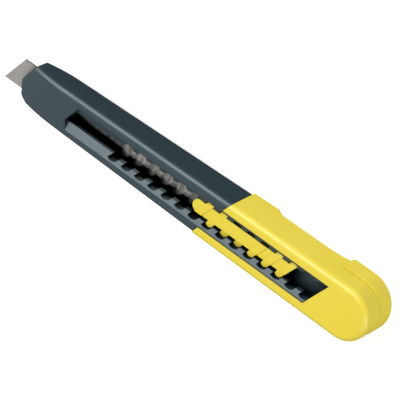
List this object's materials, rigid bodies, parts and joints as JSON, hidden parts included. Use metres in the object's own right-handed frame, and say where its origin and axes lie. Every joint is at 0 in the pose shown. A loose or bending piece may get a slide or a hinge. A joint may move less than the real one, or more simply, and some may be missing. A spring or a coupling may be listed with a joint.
{
  "type": "utility knife",
  "caption": "Slim snap-off utility knife: toothed blade slot, sliding button with press-to-release lock, grip with a finger scoop, and a pull-off tail cap for spare blades.",
  "frame": {"origin": "middle of the knife's box, on the surface it lies on", "axes": "+X from the blade's tip to the tail, +Y towards the blade's back edge, +Z out of the face that holds the slot"},
  "size_m": [0.1302, 0.0172, 0.0124],
  "materials": {
    "dark_body": "fine satin moulded plastic",
    "yellow_grip": "smooth satin moulded plastic",
    "yellow_cap": "smooth satin moulded plastic",
    "blade_steel": "ground and polished",
    "guide_steel": "pressed sheet",
    "carrier_steel": "pressed sheet",
    "spring_steel": "spring sheet",
    "yellow_slider": "moulded plastic",
    "yellow_button": "moulded plastic"
  },
  "bodies": {
    "handle": {"body_core": "dark_body", "grip_sleeve": "yellow_grip", "nose_guide": "guide_steel", "spare_blades": "blade_steel"},
    "tail_cap": {"tail_cap": "yellow_cap"},
    "blade_carriage": {"blade_carrier": "carrier_steel", "cutting_blade": "blade_steel", "lock_spring": "spring_steel"},
    "slide_button": {"lock_plate": "yellow_slider", "thumb_button": "yellow_button"}
  },
  "joints": [
    {"name": "blade_slide", "type": "slide", "parent": "handle", "child": "blade_carriage", "axis": [1, 0, 0], "range_m": [-0.0288, 0.0096], "deforming": ["lock_plate"]},
    {"name": "button_press", "type": "slide", "parent": "blade_carriage", "child": "slide_button", "axis": [0, 0, 1], "range_m": [-0.00075, 0], "stiffness_N_per_m": 1500, "springref_m": 0.0008, "deforming": ["lock_spring"]},
    {"name": "tail_cap_pull", "type": "slide", "parent": "handle", "child": "tail_cap", "axis": [1, 0, 0], "range_m": [0, 0.015]}
  ]
}
